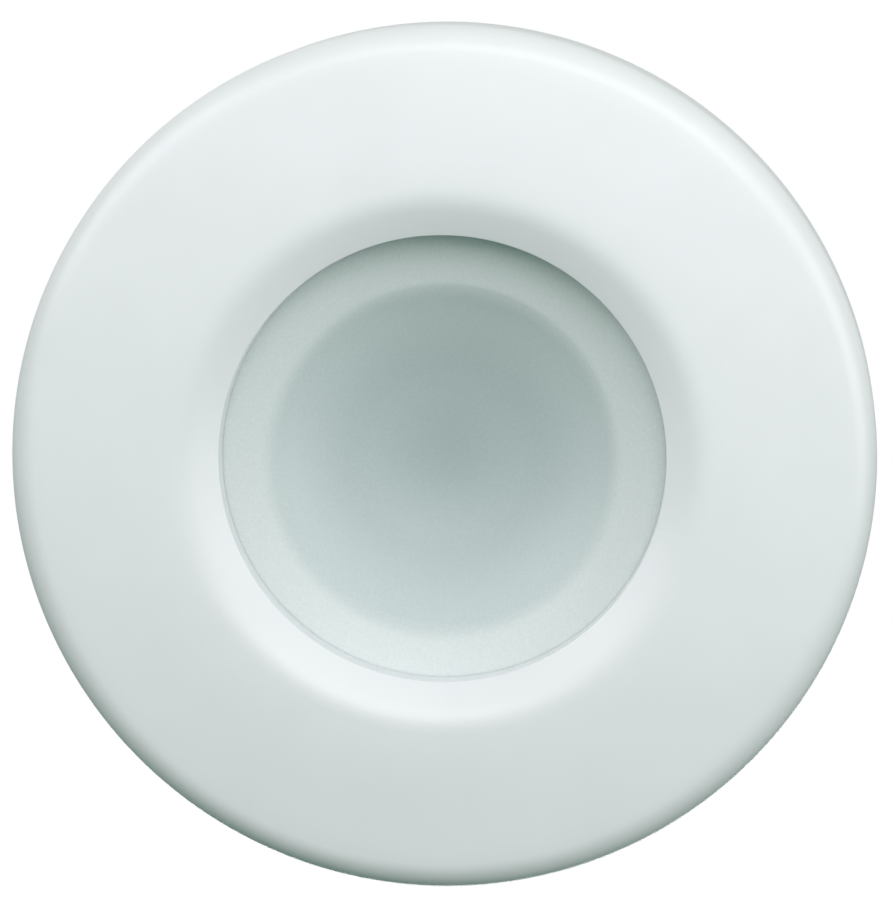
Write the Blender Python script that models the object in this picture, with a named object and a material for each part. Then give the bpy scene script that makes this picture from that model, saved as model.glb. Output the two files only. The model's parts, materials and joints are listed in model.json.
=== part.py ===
"""An underwater pool light: a small LED fitting that clamps through a pool wall, with no niche behind it.

Metres, +Z up. The light's axis lies along Y. The pool wall's wet face is the plane y = 0: the lens looks
out along -Y into the water, and the threaded barrel runs back through the wall along +Y.
Outlines are lists of (radius, y). Angles are seen from the front, anticlockwise from +X.

Run it with: blender --background --python part.py
"""

import math

import bmesh
import bpy
from mathutils import Matrix, Vector

MM = 0.001
GAP = 0.3 * MM  # left between pieces that touch on the real light
FINE, ROUND, SMALL, SCREW = 48, 32, 16, 8  # sides of a turned piece, by its size

# Driving dimensions: the face, the pipe thread behind it, and the wall that they clamp.
FACE_RADIUS = 44.5 * MM
APERTURE_RADIUS = 23.0 * MM
THREAD_RADIUS = 24.15 * MM  # 1-1/2 in pipe thread, over the crests
WALL_THICKNESS = 6.0 * MM
CABLE_RADIUS = 4.0 * MM

# The face ring, from its front to the wall.
FACE_FRONT = -14.2 * MM
FACE_BACK = -1.0 * MM  # just clear of the wall, so that it covers the flange
CROWN_RADIUS = 520 * MM  # the face is a shallow dome of this radius
FACE_WALL = 2.4 * MM
RIM_ROUNDING = 3.0 * MM
FUNNEL_TOP = 28.1 * MM  # the funnel meets the face at this radius
FUNNEL_SLOPE = math.radians(31)
FUNNEL_ROUNDING = 5.0 * MM
NOSE_WALL = 1.0 * MM  # the short tube from the funnel's foot to the lens
NOSE_TAPER = 0.1 * MM

# The stack behind it, each face counted back from the one in front.
CLAMP_FRONT = -9.9 * MM
LENS_FRONT = -8.6 * MM
HEAD_FRONT = -7.4 * MM
POCKET_FLOOR = -4.1 * MM
FLANGE_FRONT = -4.8 * MM
WALL_GASKET = 2.0 * MM
FLANGE_BACK = -(WALL_GASKET + GAP)

# The lens's front: a flat rim, a cone inside it, and a round bowl inside that.
LENS_RADIUS = 25.4 * MM
LENS_VISIBLE = 22.8 * MM
LENS_CONE = math.radians(20)
BOWL_RADIUS = 17.7 * MM
BOWL_SPHERE = 29 * MM
LENS_THICKNESS = 2.2 * MM
CLAMP_RADIUS = 34.3 * MM
HEAD_RADIUS = 33.5 * MM
FLANGE_RADIUS = 41.0 * MM
WALL_GASKET_RADIUS = 40.0 * MM

# The bayonet between the face ring and the clamp ring.
BAYONET_ANGLES = (90, 210, 330)
SKIRT_INNER = 36.4 * MM
SKIRT_OUTER = 38.2 * MM
SKIRT_END = -5.6 * MM
TAB_RADIUS = 36.0 * MM
TAB_BACK = -8.2 * MM
LUG_INNER = 34.6 * MM
LUG_HALF_ANGLE = 11

# The barrel.
FRONT_BORE = 20.5 * MM
REAR_BORE = 19.0 * MM
BORE_STEP = 11.0 * MM
THREAD_START, THREAD_END = 2.2 * MM, 33.0 * MM
TAIL_RADIUS = 21.8 * MM
TAIL_END = 56.0 * MM

# The light engine and the driver.
BOARD_FRONT = 5.0 * MM
BOARD_THICKNESS = 1.6 * MM
SINK_FRONT = 7.7 * MM
SINK_BACK = 24.0 * MM
FIXING_ANGLES = (90, 210, 330)
FIXING_RADIUS = 12.4 * MM
STANDOFF_RADIUS = 14.0 * MM
LEAD_RADIUS = 13.6 * MM
LEAD_ANGLES = (30, 150)
LED_RING = 8.5 * MM
DRIVER_FRONT = 31.0 * MM
DRIVER_BACK = DRIVER_FRONT + BOARD_THICKNESS

# The back cap and the cable gland.
CAP_FRONT = TAIL_END + GAP
CAP_BACK = 59.5 * MM
CAP_SPIGOT = 52.8 * MM
CAP_SCREW_RADIUS = 14.6 * MM
GLAND_FRONT = 54.8 * MM
GLAND_HEX = (59.8 * MM, 63.8 * MM)
GLAND_END = 74.0 * MM
SEAL_SEAT = 65.5 * MM
SEAL_END = 76.0 * MM
GLAND_NUT_FRONT = 66.5 * MM
GLAND_NUT_BACK = 82.0 * MM

CLAMP_SCREWS = 6
CLAMP_SCREW_RADIUS = 30.0 * MM


def clear_scene():
    for obj in list(bpy.data.objects):
        bpy.data.objects.remove(obj)


def finish(name, colour, roughness, metallic=0.0):
    """A material of one plain finish."""
    made = bpy.data.materials.new(name)
    made.use_nodes = True
    shader = made.node_tree.nodes["Principled BSDF"]
    shader.inputs["Base Color"].default_value = (*colour, 1.0)
    shader.inputs["Roughness"].default_value = roughness
    shader.inputs["Metallic"].default_value = metallic
    made.diffuse_color = (*colour, 1.0)
    return made


def add_object(name, shape, material):
    """A mesh object from a bmesh, with its faces turned outwards and its round faces smooth."""
    bmesh.ops.recalc_face_normals(shape, faces=shape.faces)
    mesh = bpy.data.meshes.new(name)
    shape.to_mesh(mesh)
    shape.free()
    mesh.materials.append(material)
    mesh.shade_smooth()
    mesh.set_sharp_from_angle(angle=math.radians(30))
    obj = bpy.data.objects.new(name, mesh)
    bpy.context.scene.collection.objects.link(obj)
    return obj


def turned(name, outline, material, sides=ROUND):
    """A solid turned about the Y axis. An outline that starts and ends on the axis closes there."""
    shape = bmesh.new()
    corners = [shape.verts.new((radius, y, 0)) for radius, y in outline]
    on_axis = outline[0][0] == 0 and outline[-1][0] == 0
    ends = corners[1:] if on_axis else corners[1:] + corners[:1]
    edges = [shape.edges.new(pair) for pair in zip(corners, ends)]
    bmesh.ops.spin(shape, geom=corners + edges, axis=(0, 1, 0), cent=(0, 0, 0), angle=math.tau, steps=sides)
    bmesh.ops.remove_doubles(shape, verts=shape.verts, dist=1e-7)
    return add_object(name, shape, material)


def prism(name, outline, front, back, material):
    """A solid with an outline of (x, z) points, running along Y from front to back."""
    shape = bmesh.new()
    face = shape.faces.new([shape.verts.new((x, front, z)) for x, z in outline])
    made = bmesh.ops.extrude_face_region(shape, geom=[face])
    moved = [item for item in made["geom"] if isinstance(item, bmesh.types.BMVert)]
    bmesh.ops.translate(shape, verts=moved, vec=(0, back - front, 0))
    return add_object(name, shape, material)


def arc(centre, radius, start, end, steps):
    """Points on an arc about a centre, between two angles in degrees."""
    angles = [math.radians(start + (end - start) * step / steps) for step in range(steps + 1)]
    return [(centre[0] + radius * math.cos(a), centre[1] + radius * math.sin(a)) for a in angles]


def polygon(radius, sides):
    return arc((0, 0), radius, 0, 360 - 360 / sides, sides - 1)


def rectangle(width, height, x=0.0, z=0.0):
    signs = ((-1, -1), (1, -1), (1, 1), (-1, 1))
    return [(x + width / 2 * sx, z + height / 2 * sz) for sx, sz in signs]


def sector(inner, outer, start, end):
    """The outline of part of a flat ring, between two angles."""
    steps = max(2, round(abs(end - start) / 7))
    return arc((0, 0), outer, start, end, steps) + arc((0, 0), inner, end, start, steps)


def cylinder(name, radius, front, back, material, sides=SMALL, at=(0, 0)):
    """A plain rod along Y, centred on an (x, z) point."""
    obj = turned(name, [(0, front), (radius, front), (radius, back), (0, back)], material, sides)
    obj.data.transform(Matrix.Translation((at[0], 0, at[1])))
    return obj


def polar(radius, angle):
    return radius * math.cos(math.radians(angle)), radius * math.sin(math.radians(angle))


def combine(obj, tools, operation):
    """Joins or cuts an object with tools, which stay in the scene as hidden helpers."""
    for tool in tools:
        modifier = obj.modifiers.new(operation.lower(), "BOOLEAN")
        modifier.operation = operation
        modifier.solver = "EXACT"
        modifier.object = tool
        tool.hide_render = True
        tool.display_type = "WIRE"
    return obj


def drill(obj, radius, front, back, places, sides=SCREW):
    """Cuts one round hole along Y at each (x, z) place."""
    holes = [
        cylinder(f"{obj.name}_hole_{n}", radius, front, back, obj.data.materials[0], sides, place)
        for n, place in enumerate(places, 1)
    ]
    return combine(obj, holes, "DIFFERENCE")


def repeat(name, first, places):
    """Objects that share the first one's mesh, each at an (x, z) place. The first takes the first place."""
    for n, (x, z) in enumerate(places, 1):
        obj = first if n == 1 else bpy.data.objects.new(name, first.data)
        obj.name = f"{name}_{n}"
        obj.location = (x, 0, z)
        if n > 1:
            bpy.context.scene.collection.objects.link(obj)


def baked(obj):
    """The object with its modifiers applied, and their tools removed."""
    tools = [modifier.object for modifier in obj.modifiers]
    graph = bpy.context.evaluated_depsgraph_get()
    obj.data = bpy.data.meshes.new_from_object(obj.evaluated_get(graph))
    obj.modifiers.clear()
    for tool in tools:
        bpy.data.objects.remove(tool)
    return obj


def screws(name, places, seat, length, shank, head, head_height, material, towards_back=1):
    """Pan-head screws with a round socket. The seat is the y that the heads rest on."""
    way = towards_back
    outline = [
        (0, seat - way * head_height * 0.45),
        (head * 0.42, seat - way * head_height * 0.45),
        (head * 0.42, seat - way * head_height),
        (head * 0.75, seat - way * head_height),
        (head, seat - way * head_height * 0.6),
        (head, seat),
        (shank, seat),
        (shank, seat + way * (length - shank)),
        (0, seat + way * length),
    ]
    repeat(name, turned(name, outline, material, SCREW), places)


def crown(radius):
    """The y of the face's dome at a radius."""
    return FACE_FRONT + (radius**2 - FUNNEL_TOP**2) / (2 * CROWN_RADIUS)


def lens_front(radius):
    """The y of the lens's front at a radius: rim, cone or bowl."""
    cone = (LENS_VISIBLE - max(radius, BOWL_RADIUS)) * math.tan(LENS_CONE)
    bowl = math.sqrt(BOWL_SPHERE**2 - min(radius, BOWL_RADIUS) ** 2) - math.sqrt(BOWL_SPHERE**2 - BOWL_RADIUS**2)
    return LENS_FRONT + max(0, cone) + bowl


def make_face_ring(white):
    """The white trim that shows: a shallow dome with a rounded rim and a funnel down to the lens."""
    slope = math.degrees(FUNNEL_SLOPE)
    funnel = arc((FUNNEL_TOP, FACE_FRONT + FUNNEL_ROUNDING), FUNNEL_ROUNDING, -90 - slope, -90, 4)
    edge_y = funnel[0][1] + (funnel[0][0] - APERTURE_RADIUS) * math.tan(FUNNEL_SLOPE)
    tilt = math.degrees(math.asin(FACE_RADIUS / CROWN_RADIUS))
    rim_centre = (FACE_RADIUS - RIM_ROUNDING, crown(FACE_RADIUS - RIM_ROUNDING) + RIM_ROUNDING)
    rim = arc(rim_centre, RIM_ROUNDING, -90 + tilt, 0, 3)
    face_middle = 34.0 * MM
    inside = FACE_RADIUS - FACE_WALL
    behind_nose = CLAMP_FRONT - GAP
    nose_back = LENS_FRONT - GAP
    nose_radius = APERTURE_RADIUS + NOSE_WALL
    chamfer = 0.4 * MM
    outline = [
        (APERTURE_RADIUS, edge_y),
        *funnel,
        (face_middle, crown(face_middle)),
        *rim,
        (FACE_RADIUS, FACE_BACK - chamfer),
        (FACE_RADIUS - chamfer, FACE_BACK),
        (inside, FACE_BACK),
        (inside, crown(inside) + FACE_WALL),
        (SKIRT_OUTER, crown(SKIRT_OUTER) + FACE_WALL),
        (SKIRT_OUTER, SKIRT_END),
        (SKIRT_INNER, SKIRT_END),
        (SKIRT_INNER, crown(SKIRT_INNER) + FACE_WALL),
        (FUNNEL_TOP, FACE_FRONT + FACE_WALL),
        (FUNNEL_TOP - FACE_WALL, behind_nose),
        (nose_radius, behind_nose),
        (nose_radius, nose_back),
        (APERTURE_RADIUS - NOSE_TAPER, nose_back),
    ]
    ring = turned("face_ring", outline, white, FINE)
    overlap = 0.6 * MM
    lug_front = TAB_BACK + GAP
    lug_back = lug_front + 1.5 * MM
    lugs = [
        prism(
            f"bayonet_lug_{n}",
            sector(LUG_INNER, SKIRT_INNER + overlap, angle - LUG_HALF_ANGLE, angle + LUG_HALF_ANGLE),
            lug_front,
            lug_back,
            white,
        )
        for n, angle in enumerate(BAYONET_ANGLES, 1)
    ]
    combine(ring, lugs, "UNION")


def make_lens_clamp(grey, steel):
    """The ring that six screws pull down on the lens, with the tabs that the face ring locks behind."""
    lip_back = LENS_FRONT - GAP
    ring_back = HEAD_FRONT - GAP
    pocket = LENS_RADIUS + 0.5 * MM
    lip = APERTURE_RADIUS + NOSE_WALL + GAP
    outline = [
        (lip, CLAMP_FRONT),
        (CLAMP_RADIUS, CLAMP_FRONT),
        (CLAMP_RADIUS, ring_back),
        (pocket, ring_back),
        (pocket, lip_back),
        (lip, lip_back),
    ]
    ring = turned("lens_clamp_ring", outline, grey, FINE)
    overlap = 0.6 * MM
    stop = LUG_HALF_ANGLE + 1
    pieces = []
    for n, angle in enumerate(BAYONET_ANGLES, 1):
        tab = sector(CLAMP_RADIUS - overlap, TAB_RADIUS, angle - stop - 4, angle + stop + 2)
        pieces.append(prism(f"bayonet_tab_{n}", tab, CLAMP_FRONT + 0.2 * MM, TAB_BACK, grey))
        rib = sector(HEAD_RADIUS + GAP, TAB_RADIUS - 0.1 * MM, angle - stop - 3, angle - stop)
        pieces.append(prism(f"bayonet_stop_{n}", rib, TAB_BACK - overlap, TAB_BACK + 1.6 * MM, grey))
    combine(ring, pieces, "UNION")
    places = [polar(CLAMP_SCREW_RADIUS, 30 + 360 / CLAMP_SCREWS * n) for n in range(CLAMP_SCREWS)]
    recess_floor = CLAMP_FRONT + 1.4 * MM
    drill(ring, 3.1 * MM, CLAMP_FRONT - 1 * MM, recess_floor, places, SCREW)
    drill(ring, 1.9 * MM, recess_floor - 1 * MM, ring_back + 1 * MM, places)
    screws("clamp_screw", places, recess_floor - GAP, 4.8 * MM, 1.4 * MM, 2.7 * MM, 1.2 * MM, steel)
    return places


def make_lens(frosted, silicone):
    """The dished diffuser, and the flat gasket that it is pulled down on."""
    steps = 5
    radii = [BOWL_RADIUS * step / steps for step in range(steps + 1)] + [LENS_VISIBLE, LENS_RADIUS]
    front = [(radius, lens_front(radius)) for radius in radii]
    back = [(radius, y + LENS_THICKNESS) for radius, y in front]
    outline = front + back[::-1]
    rim_back = LENS_FRONT + LENS_THICKNESS
    turned("lens", outline, frosted, ROUND)
    gasket_front, gasket_back = rim_back + GAP, POCKET_FLOOR - GAP
    inner = LENS_VISIBLE
    ring = [(inner, gasket_front), (LENS_RADIUS, gasket_front), (LENS_RADIUS, gasket_back), (inner, gasket_back)]
    turned("lens_gasket", ring, silicone, ROUND)


def make_light_body(grey, clamp_places):
    """The moulded body: a head with the lens pocket, a wall flange and the threaded barrel."""
    pocket = LENS_RADIUS + GAP
    relief = 22.6 * MM
    chamfer = 0.6 * MM
    outline = [
        (pocket, HEAD_FRONT),
        (HEAD_RADIUS, HEAD_FRONT),
        (HEAD_RADIUS, FLANGE_FRONT),
        (FLANGE_RADIUS - chamfer, FLANGE_FRONT),
        (FLANGE_RADIUS, FLANGE_FRONT + chamfer),
        (FLANGE_RADIUS, FLANGE_BACK),
        (relief, FLANGE_BACK),
        (relief, THREAD_START - 1.2 * MM),
        (THREAD_RADIUS, THREAD_START),
        (THREAD_RADIUS, THREAD_END),
        (TAIL_RADIUS, THREAD_END + 1.8 * MM),
        (TAIL_RADIUS, TAIL_END),
        (REAR_BORE, TAIL_END),
        (REAR_BORE, BORE_STEP),
        (FRONT_BORE, BORE_STEP),
        (FRONT_BORE, POCKET_FLOOR),
        (pocket, POCKET_FLOOR),
    ]
    body = turned("light_body", outline, grey, ROUND)
    boss_radius = 3.0 * MM
    wall_overlap = REAR_BORE + 1.2 * MM
    bosses = []
    for n, angle in enumerate(FIXING_ANGLES, 1):
        half_round = arc((CAP_SCREW_RADIUS, 0), boss_radius, 90, 270, 6)
        outline = [*half_round, (wall_overlap, -boss_radius), (wall_overlap, boss_radius)]
        boss = prism(f"cap_boss_{n}", outline, 44.0 * MM, CAP_SPIGOT - GAP, grey)
        boss.data.transform(Matrix.Rotation(-math.radians(angle), 4, "Y"))
        bosses.append(boss)
    combine(body, bosses, "UNION")
    drill(body, 1.75 * MM, HEAD_FRONT - 1 * MM, FLANGE_BACK - 1.2 * MM, clamp_places)
    cap_places = [polar(CAP_SCREW_RADIUS, angle) for angle in FIXING_ANGLES]
    drill(body, 1.4 * MM, 45.5 * MM, CAP_SPIGOT + 1 * MM, cap_places)
    return cap_places


def make_light_engine(white, board, phosphor, pad_grey, aluminium, steel):
    """What makes the light: reflector, LED board, LEDs, thermal pad, heat sink and the screws that join them."""
    mouth, base = 17.9 * MM, 15.0 * MM
    mouth_y, base_y = POCKET_FLOOR - 0.1 * MM, BOARD_FRONT - GAP
    wall = 1.2 * MM
    flange = FRONT_BORE - GAP
    cup = [
        (mouth, mouth_y),
        (flange, mouth_y),
        (flange, mouth_y + 1.0 * MM),
        (mouth + wall, mouth_y + 1.0 * MM),
        (base + wall, base_y),
        (base, base_y),
    ]
    turned("reflector", cup, white, ROUND)

    screw_places = [polar(FIXING_RADIUS, angle) for angle in FIXING_ANGLES]
    lead_places = [polar(LEAD_RADIUS, angle) for angle in LEAD_ANGLES]
    board_back = BOARD_FRONT + BOARD_THICKNESS
    led_board = cylinder("led_board", 19.0 * MM, BOARD_FRONT, board_back, board, ROUND)
    drill(led_board, 1.5 * MM, BOARD_FRONT - 1 * MM, board_back + 1 * MM, screw_places)
    drill(led_board, 1.1 * MM, BOARD_FRONT - 1 * MM, board_back + 1 * MM, lead_places)

    led_back = BOARD_FRONT - GAP
    led = prism("led", rectangle(3.4 * MM, 3.4 * MM), led_back - 0.7 * MM, led_back, phosphor)
    dome = arc((0, led_back - 0.6 * MM), 1.3 * MM, -90, 0, 3)
    dome[0] = (0, dome[0][1])
    lens_dome = turned("led_dome", [*dome, (0, led_back - 0.6 * MM)], phosphor, SCREW)
    combine(led, [lens_dome], "UNION")
    repeat("led", baked(led), [(0, 0)] + [polar(LED_RING, angle) for angle in range(0, 360, 60)])

    pad_back = SINK_FRONT - GAP
    pad = cylinder("thermal_pad", 18.5 * MM, board_back + GAP, pad_back, pad_grey, ROUND)
    drill(pad, 1.6 * MM, board_back, pad_back + 1 * MM, screw_places)
    drill(pad, 1.2 * MM, board_back, pad_back + 1 * MM, lead_places)

    make_heat_sink(aluminium, screw_places, lead_places)
    screws("board_screw", screw_places, BOARD_FRONT - GAP, 8.0 * MM, 1.1 * MM, 2.0 * MM, 1.1 * MM, steel)
    return lead_places


def make_heat_sink(aluminium, screw_places, lead_places):
    """A plate with nine fins behind it. The three wide fins take the screws and the driver's standoffs."""
    plate_back = BORE_STEP - GAP
    sink = cylinder("heat_sink", FRONT_BORE - GAP, SINK_FRONT, plate_back, aluminium, ROUND)
    hub, tip = 7.0 * MM, REAR_BORE - 0.8 * MM
    outline = []
    for angle in range(90, 450, 40):
        half = (3.2 if angle % 120 == 90 else 0.9) * MM
        root = [(math.sqrt(hub**2 - half**2), -half), (math.sqrt(hub**2 - half**2), half)]
        end = [(math.sqrt(tip**2 - half**2), -half), (math.sqrt(tip**2 - half**2), half)]
        turn = Matrix.Rotation(math.radians(angle), 2)
        outline += [tuple(turn @ Vector(point)) for point in (root[0], end[0], end[1], root[1])]
    fins = prism("heat_sink_fins", outline, plate_back - 0.5 * MM, SINK_BACK, aluminium)
    combine(sink, [fins], "UNION")
    drill(sink, 1.4 * MM, SINK_FRONT - 1 * MM, SINK_FRONT + 6.3 * MM, screw_places)
    drill(sink, 1.3 * MM, SINK_FRONT - 1 * MM, plate_back + 1 * MM, lead_places)
    stud_places = [polar(STANDOFF_RADIUS, angle) for angle in FIXING_ANGLES]
    drill(sink, 1.5 * MM, SINK_BACK - 4.7 * MM, SINK_BACK + 1 * MM, stud_places)


def make_driver(board, brass, copper, black, blue, green, red, steel, lead_places):
    """The driver board on its standoffs, the parts on it, and the two leads to the LED board."""
    places = [polar(STANDOFF_RADIUS, angle) for angle in FIXING_ANGLES]
    front, back = SINK_BACK + GAP, DRIVER_FRONT - GAP
    stud_front = SINK_BACK - 3.9 * MM
    standoff = [
        (0, stud_front),
        (1.2 * MM, stud_front),
        (1.2 * MM, front),
        (2.7 * MM, front),
        (2.7 * MM, back),
        (1.5 * MM, back),
        (1.5 * MM, back - 4.5 * MM),
        (0, back - 4.5 * MM),
    ]
    repeat("standoff", turned("standoff", standoff, brass, 6), places)

    driver = cylinder("driver_board", 17.5 * MM, DRIVER_FRONT, DRIVER_BACK, board, ROUND)
    drill(driver, 1.5 * MM, DRIVER_FRONT - 1 * MM, DRIVER_BACK + 1 * MM, places)
    drill(driver, 1.0 * MM, DRIVER_FRONT - 1 * MM, DRIVER_BACK + 1 * MM, lead_places)
    seat = DRIVER_BACK + GAP
    screws("driver_screw", places, seat, 5.4 * MM, 1.1 * MM, 2.1 * MM, 1.3 * MM, steel, towards_back=-1)

    coil_radius, coil_section = 3.5 * MM, 2.0 * MM
    coil = arc((coil_radius, seat + coil_section), coil_section, 0, 324, 9)
    turned("inductor", coil, copper, SMALL).location = (-5.5 * MM, 0, 4.0 * MM)
    for name, radius, height, x, z in (
        ("capacitor_1", 4.2 * MM, 10.5 * MM, 6.2 * MM, 4.0 * MM),
        ("capacitor_2", 3.2 * MM, 9.0 * MM, 6.0 * MM, -4.0 * MM),
    ):
        chamfer = 0.5 * MM
        can = [(0, seat), (radius, seat), (radius, seat + height - chamfer), (radius - chamfer, seat + height)]
        turned(name, [*can, (0, seat + height)], blue, SMALL).location = (x, 0, z)
    prism("driver_chip", rectangle(5.0 * MM, 5.0 * MM, -5.0 * MM, -5.2 * MM), seat, seat + 1.6 * MM, black)
    prism("rectifier", rectangle(3.6 * MM, 4.6 * MM, 0, -4.9 * MM), seat, seat + 2.4 * MM, black)
    block = prism("terminal_block", rectangle(11.0 * MM, 6.6 * MM, 0, -11.7 * MM), seat, seat + 8.0 * MM, green)
    mouths = [(-2.6 * MM, -11.7 * MM), (2.6 * MM, -11.7 * MM)]
    drill(block, 1.6 * MM, seat + 3.0 * MM, seat + 9.0 * MM, mouths)

    for name, (x, z), colour in zip(("led_lead_red", "led_lead_black"), lead_places, (red, black)):
        make_lead(name, x, z, colour)


def make_lead(name, x, z, material):
    """One wire from the driver board to the LED board, bowed a little where it is free."""
    start, end = DRIVER_BACK + 1.1 * MM, BOARD_FRONT - 0.7 * MM
    free_start, free_end = DRIVER_FRONT - 1.3 * MM, BORE_STEP + 1.0 * MM
    steps = 14
    path = bpy.data.curves.new(name, "CURVE")
    path.dimensions = "3D"
    path.bevel_depth = 0.6 * MM
    path.bevel_resolution = 2
    path.use_fill_caps = True
    line = path.splines.new("POLY")
    line.points.add(steps)
    for step in range(steps + 1):
        y = start + (end - start) * step / steps
        share = min(1.0, max(0.0, (free_start - y) / (free_start - free_end)))
        bow = 1 - 0.09 * math.sin(math.pi * share) ** 2
        line.points[step].co = (x * bow, y, z * bow, 1)
    path.materials.append(material)
    bpy.context.scene.collection.objects.link(bpy.data.objects.new(name, path))


def make_back_cap(grey, rubber, steel, places):
    """The cap that closes the barrel, sealed by an O-ring on its spigot."""
    spigot = 18.6 * MM
    groove = 17.2 * MM
    groove_front, groove_back = 53.5 * MM, 55.3 * MM
    chamfer = 0.6 * MM
    gland_hole = 8.1 * MM
    outline = [
        (gland_hole, CAP_SPIGOT),
        (spigot, CAP_SPIGOT),
        (spigot, groove_front),
        (groove, groove_front),
        (groove, groove_back),
        (spigot, groove_back),
        (spigot, CAP_FRONT),
        (TAIL_RADIUS, CAP_FRONT),
        (TAIL_RADIUS, CAP_BACK - chamfer),
        (TAIL_RADIUS - chamfer, CAP_BACK),
        (gland_hole, CAP_BACK),
    ]
    cap = turned("back_cap", outline, grey, ROUND)
    drill(cap, 1.5 * MM, CAP_SPIGOT - 1 * MM, CAP_BACK + 1 * MM, places)
    section = 0.72 * MM
    ring = arc(((groove + REAR_BORE) / 2, (groove_front + groove_back) / 2), section, 0, 300, 5)
    turned("cap_o_ring", ring, rubber, ROUND)
    screws("cap_screw", places, CAP_BACK + GAP, 12.0 * MM, 1.1 * MM, 2.3 * MM, 1.4 * MM, steel, towards_back=-1)


def make_gland(black, rubber, nylon):
    """The cable inlet: body, rubber seal, thrust washer and nut."""
    neck, thread = 7.8 * MM, 8.4 * MM
    bore, seat = 5.2 * MM, 6.6 * MM
    outline = [
        (0, GLAND_FRONT),
        (neck, GLAND_FRONT),
        (neck, GLAND_HEX[0] + 0.5 * MM),
        (thread, GLAND_HEX[0] + 0.5 * MM),
        (thread, GLAND_END - 0.6 * MM),
        (thread - 0.6 * MM, GLAND_END),
        (0, GLAND_END),
    ]
    body = turned("gland_body", outline, black, SMALL)
    combine(body, [prism("gland_hexagon", polygon(11.5 * MM, 6), *GLAND_HEX, black)], "UNION")
    passage = [
        (0, GLAND_FRONT - 1 * MM),
        (bore, GLAND_FRONT - 1 * MM),
        (bore, SEAL_SEAT),
        (seat, SEAL_SEAT),
        (seat, GLAND_END + 1 * MM),
        (0, GLAND_END + 1 * MM),
    ]
    combine(body, [turned("gland_passage", passage, black, SMALL)], "DIFFERENCE")

    sleeve, collar = seat - GAP, 7.6 * MM
    seal = [
        (CABLE_RADIUS, SEAL_SEAT + GAP),
        (sleeve, SEAL_SEAT + GAP),
        (sleeve, GLAND_END + GAP),
        (collar, GLAND_END + GAP),
        (collar, SEAL_END - 0.8 * MM),
        (collar - 1.6 * MM, SEAL_END),
        (CABLE_RADIUS, SEAL_END),
    ]
    turned("gland_seal", seal, rubber, SMALL)

    hole = CABLE_RADIUS + 0.5 * MM
    washer_front, washer_back = SEAL_END + GAP, SEAL_END + GAP + 1.0 * MM
    washer = [(hole, washer_front), (collar, washer_front), (collar, washer_back), (hole, washer_back)]
    turned("gland_thrust_washer", washer, nylon, SMALL)

    shoulder = 75.5 * MM
    dome_radius = 10.4 * MM
    dome = [
        (0, GLAND_NUT_FRONT),
        (dome_radius, GLAND_NUT_FRONT),
        (dome_radius, shoulder),
        (9.6 * MM, 78.5 * MM),
        (7.0 * MM, GLAND_NUT_BACK),
        (0, GLAND_NUT_BACK),
    ]
    nut = turned("gland_nut", dome, black, SMALL)
    grip = prism("gland_nut_hexagon", polygon(12.0 * MM, 6), GLAND_NUT_FRONT + 0.4 * MM, shoulder - 1 * MM, black)
    combine(nut, [grip], "UNION")
    cavity_back = washer_back + GAP
    cavity = [
        (0, GLAND_NUT_FRONT - 1 * MM),
        (thread + 0.4 * MM, GLAND_NUT_FRONT - 1 * MM),
        (thread + 0.4 * MM, cavity_back),
        (hole, cavity_back),
        (hole, GLAND_NUT_BACK + 1 * MM),
        (0, GLAND_NUT_BACK + 1 * MM),
    ]
    combine(nut, [turned("gland_nut_cavity", cavity, black, SMALL)], "DIFFERENCE")


def flat_ring(name, inner, outer, front, back, material):
    turned(name, [(inner, front), (outer, front), (outer, back), (inner, back)], material, ROUND)


def make_wall_clamp(grey, rubber, nylon):
    """What grips the pool wall: a gasket on each side, a slip washer and the locknut."""
    clearance = 0.4 * MM
    hole = THREAD_RADIUS + clearance
    flat_ring("wall_gasket", hole, WALL_GASKET_RADIUS, -WALL_GASKET, 0, rubber)
    gasket_back = WALL_THICKNESS + 2.5 * MM
    flat_ring("rear_gasket", hole, 36.0 * MM, WALL_THICKNESS, gasket_back, rubber)
    washer_front = gasket_back + GAP
    washer_back = washer_front + 1.5 * MM
    flat_ring("slip_washer", hole, 35.0 * MM, washer_front, washer_back, nylon)

    nut_front = washer_back + GAP
    nut_back = nut_front + 11.0 * MM
    collar = 2.4 * MM
    lugs = 8
    lug_radius, ring_radius = 33.2 * MM, 30.2 * MM
    nut = cylinder("locknut", 34.0 * MM, nut_front, nut_front + collar, grey, ROUND)
    outline = []
    for n in range(lugs):
        middle = 360 / lugs * n
        outline += arc((0, 0), lug_radius, middle - 7, middle + 7, 2)
        outline += arc((0, 0), ring_radius, middle + 11, middle + 360 / lugs - 11, 2)
    combine(nut, [prism("locknut_lugs", outline, nut_front + 0.5 * MM, nut_back, grey)], "UNION")
    drill(nut, hole, nut_front - 1 * MM, nut_back + 1 * MM, [(0, 0)], ROUND)


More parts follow.
